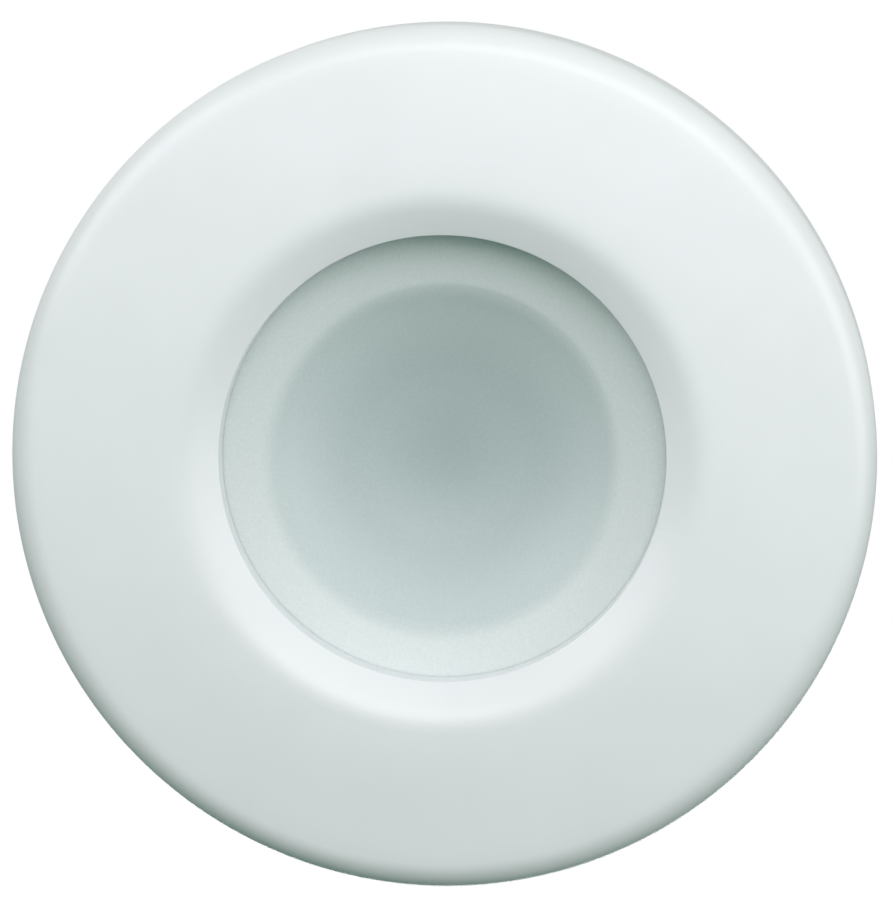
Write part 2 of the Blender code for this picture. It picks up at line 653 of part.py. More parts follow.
def main():
    clear_scene()
    white = finish("white_plastic", (0.86, 0.88, 0.88), 0.32)
    frosted = finish("frosted_lens", (0.74, 0.80, 0.79), 0.5)
    grey = finish("body_plastic", (0.80, 0.81, 0.80), 0.45)
    silicone = finish("silicone", (0.82, 0.84, 0.84), 0.6)
    rubber = finish("black_rubber", (0.03, 0.03, 0.03), 0.75)
    nylon = finish("natural_nylon", (0.78, 0.77, 0.70), 0.5)
    black = finish("black_nylon", (0.04, 0.04, 0.045), 0.5)
    board = finish("circuit_board", (0.85, 0.86, 0.84), 0.4)
    phosphor = finish("led", (0.90, 0.72, 0.20), 0.3)
    pad_grey = finish("thermal_pad", (0.45, 0.55, 0.60), 0.8)
    aluminium = finish("aluminium", (0.75, 0.76, 0.77), 0.35, 1.0)
    steel = finish("stainless_steel", (0.70, 0.70, 0.69), 0.28, 1.0)
    brass = finish("brass", (0.80, 0.62, 0.30), 0.3, 1.0)
    copper = finish("enamelled_copper", (0.62, 0.30, 0.14), 0.35, 1.0)
    blue = finish("capacitor_sleeve", (0.08, 0.12, 0.25), 0.4)
    green = finish("terminal_block", (0.08, 0.35, 0.16), 0.45)
    red = finish("red_lead", (0.60, 0.04, 0.03), 0.45)

    make_face_ring(white)
    clamp_places = make_lens_clamp(grey, steel)
    make_lens(frosted, silicone)
    cap_places = make_light_body(grey, clamp_places)
    lead_places = make_light_engine(white, board, phosphor, pad_grey, aluminium, steel)
    make_driver(board, brass, copper, black, blue, green, red, steel, lead_places)
    make_back_cap(grey, rubber, steel, cap_places)
    make_gland(black, rubber, nylon)
    make_wall_clamp(grey, rubber, nylon)


main()
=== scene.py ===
import json
import math

import bmesh
import bpy
from mathutils import Matrix, Vector


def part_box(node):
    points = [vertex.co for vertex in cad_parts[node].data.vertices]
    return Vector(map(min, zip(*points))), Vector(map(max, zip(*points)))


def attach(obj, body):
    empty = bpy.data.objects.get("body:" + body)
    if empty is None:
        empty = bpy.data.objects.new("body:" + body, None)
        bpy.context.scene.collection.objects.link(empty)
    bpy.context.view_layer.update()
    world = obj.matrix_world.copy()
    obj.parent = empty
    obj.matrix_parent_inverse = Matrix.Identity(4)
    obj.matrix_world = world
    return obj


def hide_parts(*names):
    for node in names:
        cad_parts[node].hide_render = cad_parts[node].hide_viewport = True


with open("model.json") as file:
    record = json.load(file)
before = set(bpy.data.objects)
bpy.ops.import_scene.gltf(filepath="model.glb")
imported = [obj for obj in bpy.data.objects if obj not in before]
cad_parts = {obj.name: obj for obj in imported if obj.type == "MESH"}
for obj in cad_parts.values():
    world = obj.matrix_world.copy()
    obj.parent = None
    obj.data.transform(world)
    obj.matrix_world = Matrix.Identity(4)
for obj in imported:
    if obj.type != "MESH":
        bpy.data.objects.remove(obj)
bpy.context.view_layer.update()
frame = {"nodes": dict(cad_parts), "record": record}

# An underwater pool light, seen from a little above and to the right of its axis.
# Metres, +Z up. The light's axis is Y, and it looks out along -Y.
# Outlines run as (radius, y, rounding). Angles are seen from the front, anticlockwise from +X.

MM = 0.001
GAP = 0.3 * MM  # between pieces that touch on the real light
OVERRUN = 1 * MM  # how far a cutter runs on past the face that it opens
CRISP, SOFT = 0.2 * MM, 0.3 * MM  # the roundings of most moulded corners
RECORD = frame["record"]
BODY_OF = {node: body for body, nodes in RECORD["behaviour"]["bodies"].items() for node in nodes}
SLOT_OF = {part["node"]: part["material_slot"] for part in RECORD["subparts"]}

# The camera, as the photograph has it.
VIEW_AZIMUTH, VIEW_ELEVATION = 3.4, 5.6
VIEW_DISTANCE = 0.62
VIEW_HEIGHT = 92.88 * MM  # how much of the light's plane the frame's long side takes in
VIEW_AIM = (0.25 * MM, 0.54 * MM)  # where the frame's centre is, right of and above the light's axis

# The studio.
LIGHT_DISTANCE, LIGHT_SIZE = 0.38, 0.26
LIGHT_COLOUR = (1.05, 1.0, 1.044)  # balances the green of the ambient light, so that lit faces are white
AMBIENT_BELOW = (0.13, 0.21, 0.17)
AMBIENT_FRONT, AMBIENT_BACK = (0.09, 0.14, 0.115), (0.80, 0.84, 0.81)  # from above
FLOOR_RADIUS, FLOOR_HEIGHT = 0.18, -0.50

FACE_SIDES, SIDES, NUT_SIDES, SMALL_SIDES, SCREW_SIDES = 288, 192, 320, 96, 48
SHARP = math.radians(32)  # edges that turn by more than this are shaded sharp
ARC_STEP = math.radians(9)  # between the points of a rounded corner

# The face ring's section.
CROWN_RADIUS = 520 * MM
FUNNEL_TOP = 28.1 * MM
FUNNEL_SLOPE = math.radians(31)
FUNNEL_ROUNDING = 5.0 * MM
RIM_ROUNDING = 3.0 * MM
FACE_WALL = 2.4 * MM
NOSE_WALL, NOSE_TAPER = 1.0 * MM, 0.1 * MM
APERTURE_RADIUS = 23.0 * MM

# The bayonet between the face ring and the clamp ring.
BAYONET_ANGLES = (90, 210, 330)
SKIRT_INNER, SKIRT_OUTER, SKIRT_END = 36.4 * MM, 38.2 * MM, -5.6 * MM
LUG_INNER, LUG_DEPTH, LUG_HALF_ANGLE = 34.6 * MM, 1.5 * MM, 11
CLAMP_RADIUS, TAB_RADIUS, TAB_BACK = 34.3 * MM, 36.0 * MM, -8.2 * MM

# The lens's section.
LENS_VISIBLE = 22.8 * MM
LENS_CONE = math.radians(20)
BOWL_RADIUS = 17.7 * MM
BOWL_SPHERE = 29 * MM
LENS_THICKNESS = 2.2 * MM
LENS_GRAIN = 0.16  # how far the frosting's grain darkens it
PAINTED_SHADE_CENTRE = (-0.3 * MM, -0.85 * MM)  # the centre of the lens's painted shade of the hollow, a little left of and below the axis

# The body's section.
HEAD_RADIUS = 33.5 * MM
FLANGE_DEPTH = 2.5 * MM
FRONT_BORE, REAR_BORE, BORE_STEP = 20.5 * MM, 19.0 * MM, 11.0 * MM
RELIEF = 22.6 * MM  # where the thread runs out behind the flange
CAP_SCREW_RADIUS = 14.6 * MM
FIXING_ANGLES = (90, 210, 330)
FIXING_RADIUS, STANDOFF_RADIUS, LEAD_RADIUS = 12.4 * MM, 14.0 * MM, 13.6 * MM
LEAD_ANGLES = (30, 150)
SCREW_HOLE = 1.5 * MM

# The threads. A nut's thread lies half a pitch on from the one that it turns on.
BARREL_PITCH, GLAND_PITCH = 25.4 * MM / 11.5, 1.5 * MM
THREAD_START, THREAD_END = 2.2 * MM, 33.0 * MM
THREAD_ROOT, THREAD_CREST = 22.93 * MM, 24.15 * MM
THREAD_CLEARANCE = 0.4 * MM
GLAND_ROOT, GLAND_CREST = 7.55 * MM, 8.4 * MM


def span(node):
    """A node's outer radius, and the y of its front and of its back."""
    low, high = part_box(node)
    return (high.x - low.x) / 2, low.y, high.y


def bore(node):
    """The radius of the hole through a node on the light's axis."""
    return min(math.hypot(vert.co.x, vert.co.z) for vert in frame["nodes"][node].data.vertices)


def middle(node):
    """The (x, z) of a node's centre."""
    low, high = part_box(node)
    return (low.x + high.x) / 2, (low.z + high.z) / 2


# ---- shapes


def stand_in(obj, *nodes):
    """Puts a piece in the place of CAD nodes: on their body, with the nodes hidden."""
    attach(obj, BODY_OF[nodes[0]])
    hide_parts(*nodes)


def shaded(mesh):
    mesh.shade_smooth()
    mesh.set_sharp_from_angle(angle=SHARP)


def linked(name, data):
    """A new object in the scene."""
    obj = bpy.data.objects.new(name, data)
    bpy.context.scene.collection.objects.link(obj)
    return obj


def add_object(name, shape, material):
    """A smooth-shaded mesh object from a bmesh, with its faces turned outwards."""
    bmesh.ops.remove_doubles(shape, verts=shape.verts, dist=1e-8)
    bmesh.ops.recalc_face_normals(shape, faces=shape.faces)
    mesh = bpy.data.meshes.new(name)
    shape.to_mesh(mesh)
    shape.free()
    mesh.materials.append(material)
    shaded(mesh)
    return linked(name, mesh)


def rounded(outline, closed):
    """The (radius, y) points of an outline of (radius, y, rounding) corners, each turned to an arc."""
    corners = [Vector(corner[:2]) for corner in outline]
    points = []
    for n, corner in enumerate(corners):
        rounding = outline[n][2] if len(outline[n]) > 2 else 0
        end = n in (0, len(corners) - 1) and not closed
        if not rounding or end:
            points.append(tuple(corner))
            continue
        before = (corners[n - 1] - corner).normalized()
        after = (corners[(n + 1) % len(corners)] - corner).normalized()
        opening = before.angle(after)
        turn = math.pi - opening
        reach = rounding / math.tan(opening / 2)
        centre = corner + (before + after).normalized() * rounding / math.sin(opening / 2)
        first = corner + before * reach - centre
        side = 1 if first.y * before.x - first.x * before.y > 0 else -1
        steps = max(2, math.ceil(turn / ARC_STEP))
        for k in range(steps + 1):
            points.append(tuple(centre + Matrix.Rotation(side * turn * k / steps, 2) @ first))
    return points


def lathed(name, rows, material, sides, closed=True):
    """A solid of (radius, y) rows about the Y axis. A radius can be a function of the angle."""
    shape = bmesh.new()
    rings = []
    for radius, y in rows:
        if radius == 0:
            rings.append([shape.verts.new((0, y, 0))] * sides)
            continue
        ring = []
        for n in range(sides):
            angle = math.tau * n / sides
            r = radius(angle) if callable(radius) else radius
            ring.append(shape.verts.new((r * math.cos(angle), y, r * math.sin(angle))))
        rings.append(ring)
    pairs = list(zip(rings, rings[1:] + rings[:1] if closed else rings[1:]))
    for this, following in pairs:
        for n in range(sides):
            m = (n + 1) % sides
            corners = [this[n], this[m], following[m], following[n]]
            unique = list(dict.fromkeys(corners))
            if len(unique) > 2:
                shape.faces.new(unique)
    return add_object(name, shape, material)


def turned(name, outline, material, sides=SIDES):
    """A solid of an outline's rounded corners. One that starts and ends at radius 0 closes on the axis."""
    on_axis = outline[0][0] == 0 and outline[-1][0] == 0
    return lathed(name, rounded(outline, closed=not on_axis), material, sides, closed=not on_axis)


def helix(shape, root, crest, start, end, pitch, origin, sides):
    """Adds a right-handed thread's surface between two y values. It meets both ends at the root radius."""
    steps = ((0.0, 0), (0.12, 0), (0.43, 1), (0.57, 1), (0.88, 0))
    first = math.floor((start - origin) / pitch)
    turns = math.ceil((end - start) / pitch) + 2
    rows = [(first + turn + t, height) for turn in range(turns) for t, height in steps]
    fade = 0.7 * pitch
    columns = []
    for n in range(sides):
        angle = math.tau * n / sides
        cos, sin = math.cos(angle), math.sin(angle)
        low, high = (shape.verts.new((root * cos, y, root * sin)) for y in (start, end))
        column = []
        for turn, height in rows:
            y = origin + pitch * (turn - n / sides)
            if y <= start or y >= end:
                column.append(low if y <= start else high)
                continue
            strength = min(1, (y - start) / fade, (end - y) / fade)
            radius = root + (crest - root) * height * strength
            column.append(shape.verts.new((radius * cos, y, radius * sin)))
        columns.append(column)
    for n in range(sides):
        this, following = columns[n], columns[(n + 1) % sides]
        shift = len(steps) if n == sides - 1 else 0
        for row in range(len(rows) - 1):
            here = (this[row], this[row + 1])
            there = tuple(following[max(0, k - shift)] for k in (row + 1, row))
            unique = list(dict.fromkeys(here + there))
            if len(unique) > 2 and not shape.faces.get(unique):
                shape.faces.new(unique)


def prism(name, outline, front, back, material):
    """A solid with an outline of (x, z) points, running along Y."""
    shape = bmesh.new()
    face = shape.faces.new([shape.verts.new((x, front, z)) for x, z in outline])
    made = bmesh.ops.extrude_face_region(shape, geom=[face])
    moved = [item for item in made["geom"] if isinstance(item, bmesh.types.BMVert)]
    bmesh.ops.translate(shape, verts=moved, vec=(0, back - front, 0))
    return add_object(name, shape, material)


def arc(radius, start, end, steps):
    angles = [math.radians(start + (end - start) * step / steps) for step in range(steps + 1)]
    return [(radius * math.cos(a), radius * math.sin(a)) for a in angles]


def sector(inner, outer, start, end):
    steps = max(2, round(abs(end - start) / 1.25))
    return arc(outer, start, end, steps) + arc(inner, end, start, steps)


def polar(radius, angle):
    return radius * math.cos(math.radians(angle)), radius * math.sin(math.radians(angle))


CAP_PLACES, FIXING_PLACES, STANDOFF_PLACES = (
    [polar(radius, angle) for angle in FIXING_ANGLES]
    for radius in (CAP_SCREW_RADIUS, FIXING_RADIUS, STANDOFF_RADIUS)
)
LEAD_PLACES = [polar(LEAD_RADIUS, angle) for angle in LEAD_ANGLES]


def quarter(steps):
    """Angles from 0 to a right angle."""
    return [math.pi / 2 * n / steps for n in range(steps + 1)]


def hexagon(circumradius, limit=None):
    """The radius of a hexagon at an angle. A limit turns its corners down, as a chamfer does."""
    flat = circumradius * math.cos(math.pi / 6)

    def radius(angle):
        offset = abs((angle + math.pi / 6) % (math.pi / 3) - math.pi / 6)
        return min(flat / math.cos(math.pi / 6 - offset), limit or circumradius)

    return radius


def chamfered_hexagon(circumradius, front, back):
    """The rows of a hexagon whose corners are turned down at both ends, as on a nut."""
    turned_down = circumradius * math.cos(math.pi / 6) * 1.02
    depth = (circumradius - turned_down) * math.tan(math.pi / 6)
    full, cut = hexagon(circumradius), hexagon(circumradius, turned_down)
    return [(cut, front), (full, front + depth), (full, back - depth), (cut, back)]


def with_modifiers_applied(obj):
    graph = bpy.context.evaluated_depsgraph_get()
    obj.data = bpy.data.meshes.new_from_object(obj.evaluated_get(graph))
    obj.modifiers.clear()
    shaded(obj.data)
    return obj


def combined(obj, tools, operation):
    """The object after Boolean work, with the tools removed."""
    for tool in tools:
        modifier = obj.modifiers.new(operation.lower(), "BOOLEAN")
        modifier.operation = operation
        modifier.solver = "MANIFOLD"
        modifier.object = tool
    with_modifiers_applied(obj)
    for tool in tools:
        bpy.data.objects.remove(tool)
    return obj


def rod(radius, front, back, place):
    """A plain rod along Y at an (x, z) place, to cut with."""
    obj = turned("rod", [(0, front), (radius, front), (radius, back), (0, back)], None, SCREW_SIDES)
    obj.data.transform(Matrix.Translation((place[0], 0, place[1])))
    return obj


def drilled(obj, radius, front, back, places):
    return combined(obj, [rod(radius, front, back, place) for place in places], "DIFFERENCE")


def threaded(obj, root, crest, start, end, pitch, origin, sides):
    """Swaps an object's plain band at the root radius, from start to end, for a thread."""
    close = 0.001 * MM

    def on_band(vert):
        on_root = abs(math.hypot(vert.co.x, vert.co.z) - root) < close
        return on_root and min(abs(vert.co.y - start), abs(vert.co.y - end)) < close

    shape = bmesh.new()
    shape.from_mesh(obj.data)
    band = [face for face in shape.faces if all(on_band(vert) for vert in face.verts)]
    bmesh.ops.delete(shape, geom=band, context="FACES")
    helix(shape, root, crest, start, end, pitch, origin, sides)
    bmesh.ops.remove_doubles(shape, verts=shape.verts, dist=close)
    bmesh.ops.recalc_face_normals(shape, faces=shape.faces)
    shape.to_mesh(obj.data)
    shape.free()
    shaded(obj.data)


def placed(obj, node):
    """Moves a piece that was made on the axis across to stand in for its node."""
    x, z = middle(node)
    obj.location = (x, 0, z)
    stand_in(obj, node)


def copies(first, nodes):
    """The first piece and copies that share its mesh, one in each node's place."""
    for node in nodes:
        obj = first if node == nodes[0] else linked(first.name, first.data)
        obj.name = f"{node}_piece"
        placed(obj, node)


def numbered(name, count):
    return [f"{name}_{n}" for n in range(1, count + 1)]


def softened(node, width):
    """A node's own shape with its flat faces joined up and its edges rounded off."""
    shape = bmesh.new()
    shape.from_mesh(frame["nodes"][node].data)
    bmesh.ops.remove_doubles(shape, verts=shape.verts, dist=0.001 * MM)
    bmesh.ops.dissolve_limit(shape, angle_limit=math.radians(1), verts=shape.verts, edges=shape.edges)
    obj = add_object(f"{node}_piece", shape, MATERIALS[SLOT_OF[node]])
    modifier = obj.modifiers.new("bevel", "BEVEL")
    modifier.width = width
    modifier.segments = 3
    modifier.limit_method = "ANGLE"
    modifier.angle_limit = math.radians(35)
    stand_in(with_modifiers_applied(obj), node)


# ---- materials


class Finish:
    """A Principled material, with short calls for the nodes that drive it."""

    def __init__(self, name, metallic=0.0, specular=0.5):
        self.material = bpy.data.materials.new(name)
        self.material.use_nodes = True
        self.tree = self.material.node_tree
        self.shader = self.tree.nodes["Principled BSDF"]
        self.shader.inputs["Metallic"].default_value = metallic
        self.shader.inputs["Specular IOR Level"].default_value = specular
        self.place = self.tree.nodes.new("ShaderNodeTexCoord").outputs["Object"]

    def node(self, kind, inputs, **settings):
        made = self.tree.nodes.new(kind)
        for name, value in settings.items():
            setattr(made, name, value)
        for socket, value in inputs.items():
            if isinstance(value, bpy.types.NodeSocket):
                self.tree.links.new(value, made.inputs[socket])
            else:
                made.inputs[socket].default_value = value
        return made

    def noise(self, size, detail, stretch=(1, 1, 1), seed=0.0):
        """Noise whose features are about that size, in metres."""
        mapping = self.node("ShaderNodeMapping", {"Vector": self.place, "Location": (seed, seed, seed)})
        mapping.inputs["Scale"].default_value = stretch
        inputs = {"Vector": mapping.outputs[0], "Scale": 1 / size, "Detail": detail}
        return self.node("ShaderNodeTexNoise", inputs).outputs["Fac"]

    def math(self, operation, *values):
        return self.node("ShaderNodeMath", dict(enumerate(values)), operation=operation).outputs[0]

    def ramp(self, value, *stops):
        """A smooth ramp of (position, level or colour) stops."""
        made = self.node("ShaderNodeValToRGB", {"Fac": value})
        made.color_ramp.interpolation = "EASE"
        elements = made.color_ramp.elements
        while len(elements) < len(stops):
            elements.new(0.5)
        for element, (position, level) in zip(elements, stops):
            element.position = position
            element.color = (*level, 1) if isinstance(level, tuple) else (level, level, level, 1)
        return made.outputs["Color"]

    def mix(self, factor, first, second):
        """A mix of two colours, each a socket or an (r, g, b)."""
        made = self.node("ShaderNodeMix", {"Factor": factor}, data_type="RGBA")
        for socket, value in ((made.inputs[6], first), (made.inputs[7], second)):
            if isinstance(value, bpy.types.NodeSocket):
                self.tree.links.new(value, socket)
            else:
                socket.default_value = (*value, 1)
        return made.outputs[2]

    def radius(self, centre):
        """The distance from a line along Y through an (x, z)."""
        parts = self.node("ShaderNodeSeparateXYZ", {"Vector": self.place}).outputs
        sides = [self.math("SUBTRACT", parts[axis], place) for axis, place in zip("XZ", centre)]
        squares = [self.math("POWER", side, 2.0) for side in sides]
        return self.math("SQRT", self.math("ADD", *squares))

    def colour(self, value):
        self.tree.links.new(value, self.shader.inputs["Base Color"])

    def roughness(self, value, low, high):
        made = self.node("ShaderNodeMapRange", {"Value": value, "To Min": low, "To Max": high})
        self.tree.links.new(made.outputs[0], self.shader.inputs["Roughness"])

    def bump(self, *layers):
        """Bump from (height, depth in metres) layers, each on top of the last."""
        normal = None
        for height, depth in layers:
            made = self.node("ShaderNodeBump", {"Height": height, "Distance": depth, "Strength": 1.0})
            if normal:
                self.tree.links.new(normal, made.inputs["Normal"])
            normal = made.outputs[0]
        self.tree.links.new(normal, self.shader.inputs["Normal"])


def tint(colour, factor):
    return tuple(min(1, part * factor) for part in colour)


def moulded_plastic(name, colour, roughness, depth=0.004 * MM, patchy=0.03):
    """Injection-moulded plastic: a little patchy, with a fine grain and a slow waviness."""
    finish = Finish(name)
    patches = finish.noise(9 * MM, 3)
    finish.colour(finish.mix(patches, tint(colour, 1 - patchy), tint(colour, 1 + patchy)))
    fine = finish.noise(0.35 * MM, 3)
    both = finish.math("ADD", finish.math("MULTIPLY", patches, 0.6), finish.math("MULTIPLY", fine, 0.4))
    finish.roughness(both, roughness - 0.06, roughness + 0.08)
    finish.bump((finish.noise(14 * MM, 1, seed=3.0), 0.02 * MM), (fine, depth))
    return finish.material


def frosted_lens():
    """Frosted plastic, with painted shade and light in its colour: palest at its rim, standing in for the lit
    white ledge behind, and greyer in the middle, standing in for the dark hollow behind it.
    """
    lens = Finish("frosted_lens")
    share = lens.math("DIVIDE", lens.radius(PAINTED_SHADE_CENTRE), LENS_VISIBLE)
    # Painted shade and light: grey in the middle for the shade of the hollow behind, pale at the rim for the
    # light off the white ledge behind.
    grey, mid = (0.405, 0.495, 0.483), (0.468, 0.557, 0.546)
    pale, band = (0.57, 0.658, 0.643), (0.706, 0.775, 0.758)
    edge = BOWL_RADIUS / LENS_VISIBLE
    painted_shade_and_ledge_light = lens.ramp(share, (0.0, grey), (0.5 * edge, mid), (edge - 0.035, pale), (edge + 0.055, band))
    grain = lens.math("MULTIPLY", lens.noise(0.28 * MM, 2), LENS_GRAIN)
    lens.colour(lens.mix(grain, painted_shade_and_ledge_light, (0.05, 0.06, 0.06)))
    lens.roughness(lens.noise(0.5 * MM, 3), 0.42, 0.58)
    lens.bump((lens.noise(0.25 * MM, 2), 0.004 * MM))
    return lens.material


def rubber(name, colour, roughness=0.7):
    """Moulded rubber with a dusty bloom in patches."""
    finish = Finish(name, specular=0.35)
    bloom = finish.noise(5 * MM, 4, seed=1.0)
    finish.colour(finish.mix(bloom, tint(colour, 0.85), tuple(part * 1.15 + 0.012 for part in colour)))
    finish.roughness(bloom, roughness - 0.1, roughness + 0.12)
    finish.bump((finish.noise(0.3 * MM, 3), 0.01 * MM))
    return finish.material


def metal(name, colour, roughness):
    """Machined metal: fine turning marks round the Y axis, and duller patches."""
    finish = Finish(name, metallic=1.0)
    marks = finish.noise(0.6 * MM, 3, stretch=(1, 14, 1))
    finish.colour(finish.mix(finish.noise(3 * MM, 2), tint(colour, 0.9), tint(colour, 1.08)))
    finish.roughness(marks, roughness - 0.08, roughness + 0.14)
    finish.bump((marks, 0.003 * MM))
    return finish.material


def circuit_board(name, mask, copper):
    """Solder mask over copper tracks, whose edges show through."""
    finish = Finish(name)
    cells = finish.node("ShaderNodeTexVoronoi", {"Vector": finish.place, "Scale": 1 / (2.6 * MM)},
                        feature="DISTANCE_TO_EDGE", distance="CHEBYCHEV").outputs["Distance"]
    track = finish.ramp(cells, (0.0, 0.0), (0.09, 0.0), (0.13, 1.0))
    finish.colour(finish.mix(track, copper, mask))
    finish.roughness(finish.noise(1.2 * MM, 3), 0.28, 0.42)
    finish.bump((finish.ramp(cells, (0.0, 1.0), (0.09, 1.0), (0.13, 0.0)), 0.03 * MM))
    return finish.material


def enamelled_windings(name, colour):
    """Copper wire wound closely round a ring: bands that run through its hole."""
    finish = Finish(name, metallic=0.85)
    inputs = {"Vector": finish.place, "Scale": 1 / (2.2 * MM), "Distortion": 0.6}
    bands = finish.node("ShaderNodeTexWave", inputs, wave_type="BANDS", bands_direction="DIAGONAL")
    wave = bands.outputs["Fac"]
    finish.colour(finish.mix(wave, tint(colour, 0.45), tint(colour, 1.15)))
    finish.roughness(finish.noise(0.5 * MM, 2), 0.25, 0.4)
    finish.bump((wave, 0.12 * MM))
    return finish.material


def make_materials():
    """One material for each of the record's slots."""
    return {
        "white_face": moulded_plastic("white_face", (0.80, 0.83, 0.83), roughness=0.34),
        "lens": frosted_lens(),
        "body_plastic": moulded_plastic("body_plastic", (0.70, 0.715, 0.705), 0.45, depth=0.008 * MM),
        "reflector": moulded_plastic("reflector_white", (0.86, 0.87, 0.87), roughness=0.2),
        "silicone": rubber("silicone", (0.72, 0.74, 0.74), roughness=0.55),
        "black_rubber": rubber("black_rubber", (0.028, 0.028, 0.03)),
        "nylon": moulded_plastic("natural_nylon", (0.72, 0.70, 0.60), roughness=0.42, patchy=0.06),
        "black_nylon": moulded_plastic("black_nylon", (0.035, 0.036, 0.038), roughness=0.42, depth=0.01 * MM),
        "circuit_board": circuit_board("circuit_board", (0.78, 0.79, 0.77), (0.66, 0.66, 0.62)),
        "led": moulded_plastic("led_phosphor", (0.88, 0.66, 0.12), roughness=0.22, patchy=0.08),
        "thermal_pad": rubber("thermal_pad", (0.36, 0.46, 0.52)),
        "aluminium": metal("aluminium", (0.74, 0.75, 0.76), roughness=0.34),
        "stainless": metal("stainless_steel", (0.62, 0.62, 0.61), roughness=0.26),
        "brass": metal("brass", (0.78, 0.58, 0.26), roughness=0.28),
        "copper": enamelled_windings("enamelled_copper", (0.62, 0.27, 0.10)),
        "capacitor_sleeve": moulded_plastic("capacitor_sleeve", (0.06, 0.10, 0.22), roughness=0.3),
        "black_epoxy": moulded_plastic("black_epoxy", (0.03, 0.03, 0.032), roughness=0.5, depth=0.012 * MM),
        "terminal_block": moulded_plastic("terminal_green", (0.05, 0.30, 0.12), roughness=0.4),
        "red_lead": rubber("red_lead", (0.52, 0.03, 0.02), roughness=0.4),
        "black_lead": rubber("black_lead", (0.02, 0.02, 0.022), roughness=0.4),
    }


MATERIALS = make_materials()


# ---- the face


def make_face_ring():
    """The white trim: a shallow dome with a rounded rim, and a funnel down to a short nose round the lens."""
    face_radius, front, back = span("face_ring")

    def crown(radius):
        return front + (radius**2 - FUNNEL_TOP**2) / (2 * CROWN_RADIUS)

    funnel_foot = front + FUNNEL_ROUNDING * (1 - math.cos(FUNNEL_SLOPE))
    foot_radius = FUNNEL_TOP - FUNNEL_ROUNDING * math.sin(FUNNEL_SLOPE)
    edge_y = funnel_foot + (foot_radius - APERTURE_RADIUS) * math.tan(FUNNEL_SLOPE)
    corner_radius = APERTURE_RADIUS + (edge_y - front) / math.tan(FUNNEL_SLOPE)
    nose_back = span("lens")[1] - GAP
    behind_nose = span("lens_clamp_ring")[1] - GAP
    inside = face_radius - FACE_WALL
    dome = [(radius * MM, crown(radius * MM)) for radius in (31, 33.5, 36, 38, 40)]
    outline = [
        (APERTURE_RADIUS, edge_y, 0.14 * MM),
        (corner_radius, front, FUNNEL_ROUNDING),
        *dome,
        (face_radius, crown(face_radius), RIM_ROUNDING),
        (face_radius, back, 0.5 * MM),
        (inside, back, SOFT),
        (inside, crown(inside) + FACE_WALL, 0.8 * MM),
        (SKIRT_OUTER, crown(SKIRT_OUTER) + FACE_WALL, 0.6 * MM),
        (SKIRT_OUTER, SKIRT_END, 0.25 * MM),
        (SKIRT_INNER, SKIRT_END, 0.25 * MM),
        (SKIRT_INNER, crown(SKIRT_INNER) + FACE_WALL, 0.6 * MM),
        (FUNNEL_TOP, front + FACE_WALL, 1.5 * MM),
        (FUNNEL_TOP - FACE_WALL, behind_nose, 0.4 * MM),
        (APERTURE_RADIUS + NOSE_WALL, behind_nose, SOFT),
        (APERTURE_RADIUS + NOSE_WALL, nose_back, CRISP),
        (APERTURE_RADIUS - NOSE_TAPER, nose_back, 0.15 * MM),
    ]
    white = MATERIALS["white_face"]
    ring = turned("face_ring_trim", outline, white, FACE_SIDES)
    overlap, lug_front = 0.6 * MM, TAB_BACK + GAP
    lugs = []
    for angle in BAYONET_ANGLES:
        lug = sector(LUG_INNER, SKIRT_INNER + overlap, angle - LUG_HALF_ANGLE, angle + LUG_HALF_ANGLE)
        lugs.append(prism("lug", lug, lug_front, lug_front + LUG_DEPTH, white))
    stand_in(combined(ring, lugs, "UNION"), "face_ring")


def make_lens():
    """The lens: a flat rim, a cone and a bowl, with the same shape behind."""
    radius, front, _ = span("lens")
    rim_back = front + LENS_THICKNESS

    def sphere(r):
        return math.sqrt(BOWL_SPHERE**2 - r**2)

    def lens_front(r):
        cone = (LENS_VISIBLE - max(r, BOWL_RADIUS)) * math.tan(LENS_CONE)
        return front + cone + sphere(min(r, BOWL_RADIUS)) - sphere(BOWL_RADIUS)

    bowl_steps, soft = 28, 2.4 * MM
    bowl = [(r, lens_front(r)) for r in (BOWL_RADIUS * n / bowl_steps for n in range(bowl_steps - 2))]
    face = [*bowl, (BOWL_RADIUS, lens_front(BOWL_RADIUS), soft), (LENS_VISIBLE, front, 0.5 * MM)]
    rear = [(r, y + LENS_THICKNESS, *soften) for r, y, *soften in reversed(face)]
    outline = [*face, (radius, front, SOFT), (radius, rim_back, SOFT), *rear]
    stand_in(turned("lens_diffuser", outline, MATERIALS["lens"], SIDES), "lens")


def flat_ring(node, rounding):
    """A plain flat ring, such as a washer, with softened edges."""
    outer, front, back = span(node)
    inner = bore(node)
    corners = ((inner, front), (outer, front), (outer, back), (inner, back))
    obj = turned(f"{node}_ring", [(*corner, rounding) for corner in corners], MATERIALS[SLOT_OF[node]])
    stand_in(obj, node)


